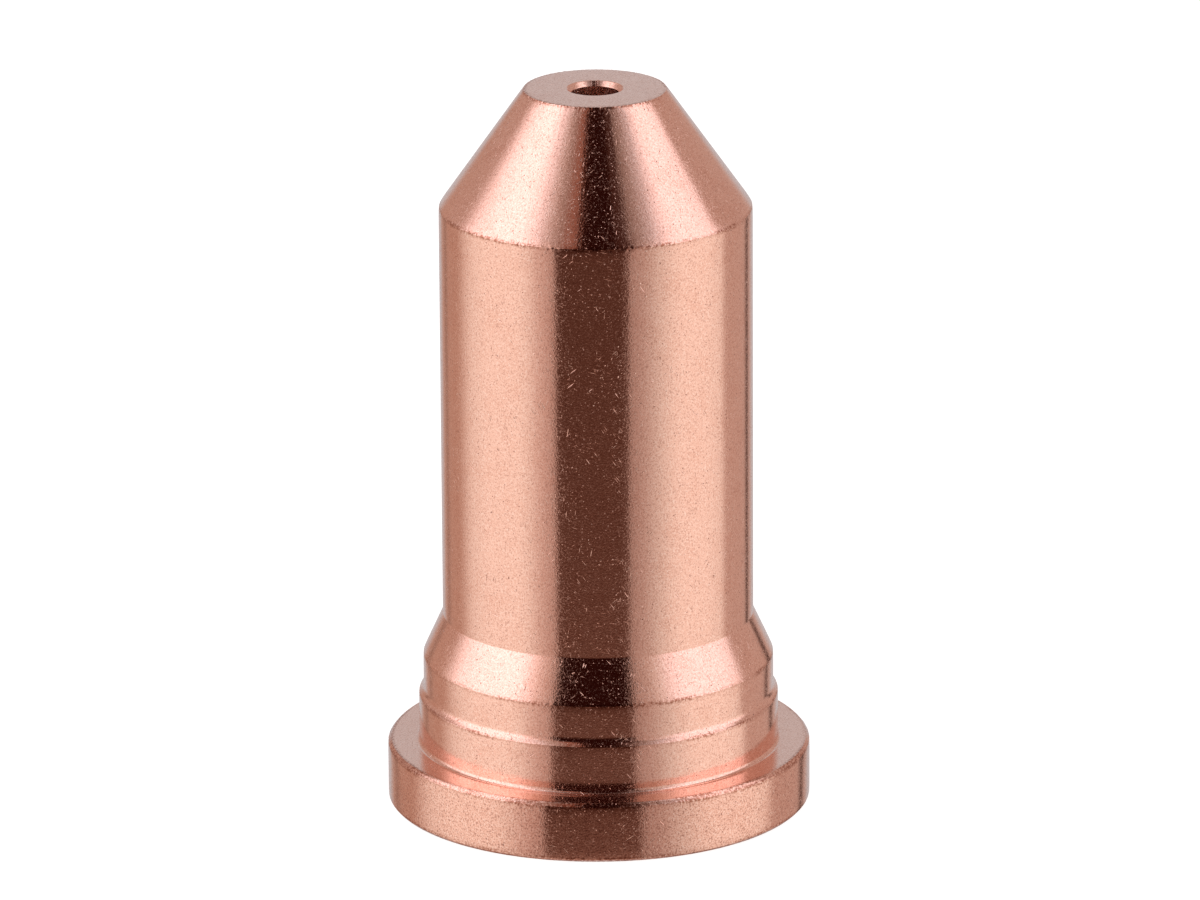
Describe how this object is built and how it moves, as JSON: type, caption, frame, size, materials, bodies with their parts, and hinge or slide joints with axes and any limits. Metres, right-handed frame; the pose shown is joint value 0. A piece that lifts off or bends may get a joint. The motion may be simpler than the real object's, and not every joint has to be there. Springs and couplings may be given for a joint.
{
  "type": "plasma torch nozzle",
  "caption": "Long-reach plasma cutting nozzle: flanged rear, straight barrel and conical nose with one central orifice.",
  "frame": {"origin": "centre of the flange's flat rear face, which the nozzle stands on", "axes": "+Z along the axis of revolution, from the flange towards the nose; X and Y are any two directions across it"},
  "size_m": [0.018, 0.018, 0.0312],
  "materials": {
    "turned_copper": null
  },
  "bodies": {
    "root": {"nozzle_body": "turned_copper"}
  },
  "joints": []
}
